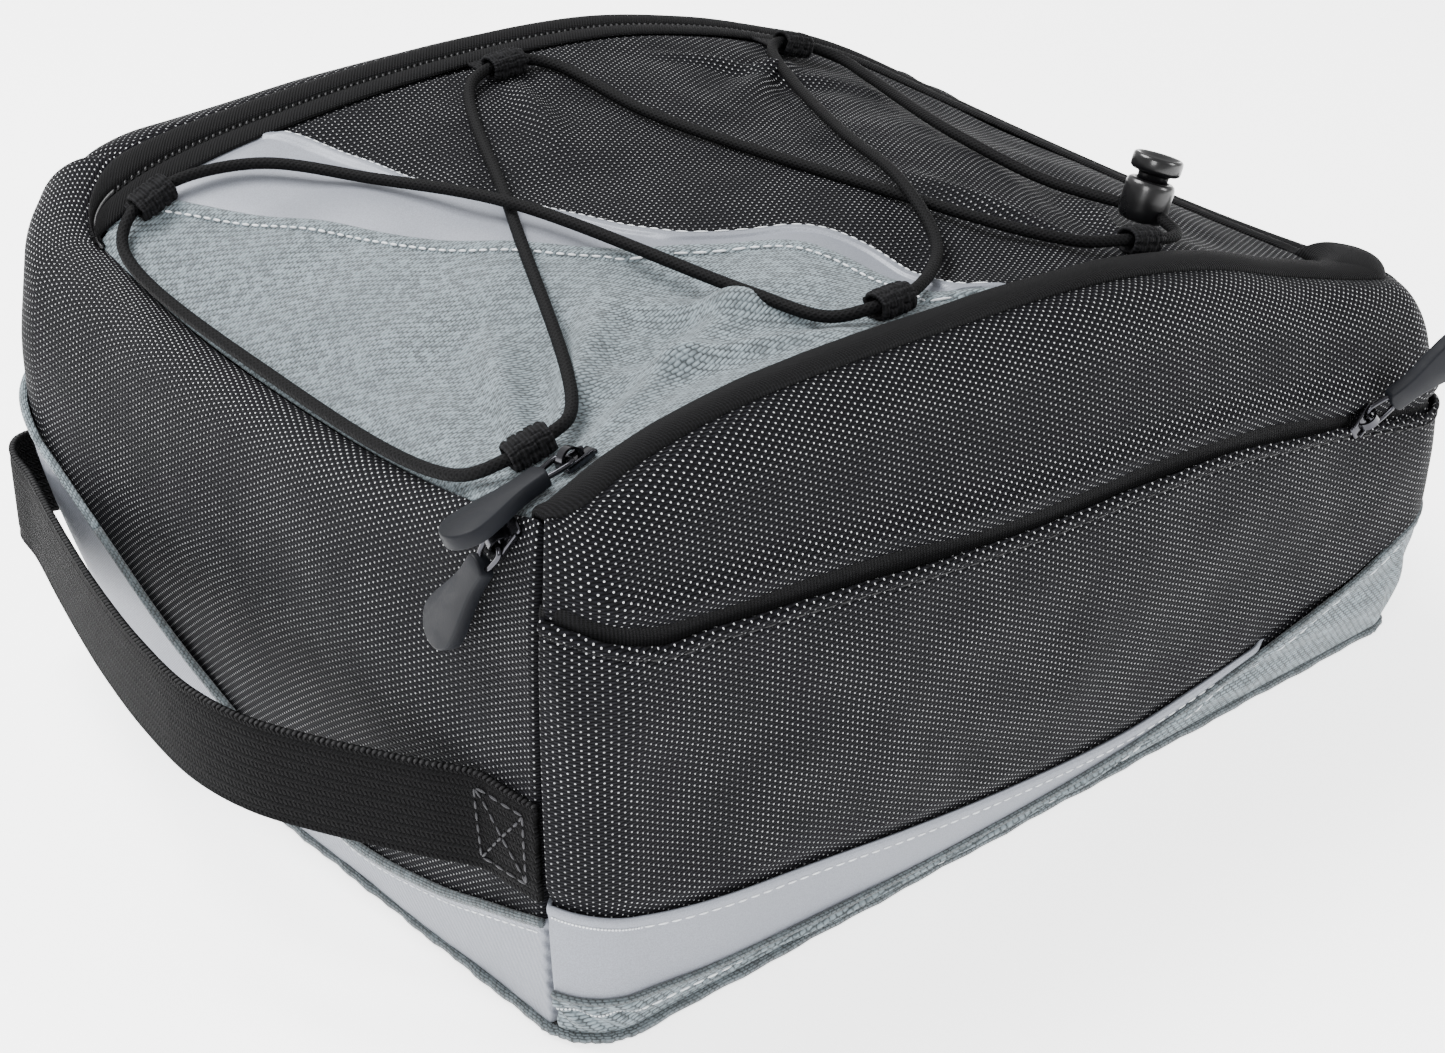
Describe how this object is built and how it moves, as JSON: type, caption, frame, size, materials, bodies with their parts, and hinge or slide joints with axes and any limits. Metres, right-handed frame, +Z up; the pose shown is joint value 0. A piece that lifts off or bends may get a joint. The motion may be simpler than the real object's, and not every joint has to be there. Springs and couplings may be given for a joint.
{
  "type": "bicycle trunk bag",
  "caption": "Soft box-shaped carrier bag with a zipped lid, a laced elastic cord with a cord lock, a zipped side pocket, grey trim and a webbing handle on one end.",
  "frame": {"origin": "centre of the base on the floor", "axes": "+X along the bag away from the handle, +Z up, -Y the side with the pocket"},
  "size_m": [0.3935, 0.3077, 0.1852],
  "materials": {
    "black_fabric": "ribbed woven fabric with fine light dots",
    "grey_fabric": "plain woven fabric",
    "reflective_fabric": "fine-grained reflective fabric",
    "webbing": "ribbed webbing and zip tape",
    "cord": "braided elastic cord",
    "rubber": "matte",
    "dark_metal": "dark satin",
    "black_plastic": "satin"
  },
  "bodies": {
    "bag": {"base_panel": "black_fabric", "base_piping": "grey_fabric", "near_wall": "black_fabric", "plain_end_wall": "black_fabric", "far_wall": "black_fabric", "handle_end_wall": "black_fabric", "foot_trim_near": "grey_fabric", "reflective_near": "reflective_fabric", "pocket_panel": "black_fabric", "pocket_zip": "webbing", "foot_trim_far": "grey_fabric", "reflective_far": "reflective_fabric", "foot_trim_plain_end": "grey_fabric", "reflective_handle_end": "reflective_fabric", "lid_panel_grey": "grey_fabric", "lid_reflective": "reflective_fabric", "lid_panel_black": "black_fabric", "lid_zip_tape": "webbing", "zip_flap_near": "webbing", "cord_loop_far_plain": "webbing", "cord_loop_near_middle": "webbing", "cord_loop_far_handle": "webbing", "cord_loop_near_handle": "webbing", "cord_loop_far_middle": "webbing", "cord_loop_near_plain": "webbing", "bungee_cord": "cord", "handle_strap": "webbing", "cord_lock_barrel": "black_plastic", "lid_front_slider": "dark_metal", "lid_corner_slider": "dark_metal", "pocket_slider": "dark_metal"},
    "lid_front_pull_body": {"lid_front_bail": "dark_metal", "lid_front_pull": "rubber"},
    "lid_corner_pull_body": {"lid_corner_bail": "dark_metal", "lid_corner_pull": "rubber"},
    "pocket_pull_body": {"pocket_bail": "dark_metal", "pocket_pull": "rubber"},
    "button_body": {"cord_lock_button": "black_plastic"}
  },
  "joints": [
    {"name": "lid_front_pull_swing", "type": "hinge", "parent": "bag", "child": "lid_front_pull_body", "pos_m": [-0.14675, -0.09832, 0.16326], "axis": [0.058, 0.9738, -0.22], "range_deg": [0, 150]},
    {"name": "lid_corner_pull_swing", "type": "hinge", "parent": "bag", "child": "lid_corner_pull_body", "pos_m": [-0.17108, -0.10006, 0.14883], "axis": [0.1979, 0.8755, 0.4408], "range_deg": [0, 58]},
    {"name": "pocket_pull_swing", "type": "hinge", "parent": "bag", "child": "pocket_pull_body", "pos_m": [0.13026, -0.13954, 0.09596], "axis": [0.5657, -0.058, -0.8226], "range_deg": [-12, 120]},
    {"name": "cord_lock_press", "type": "slide", "parent": "bag", "child": "button_body", "axis": [-0.342, 0, -0.9397], "range_m": [0, 0.0022], "stiffness_N_per_m": 300, "springref_m": -0.003}
  ]
}
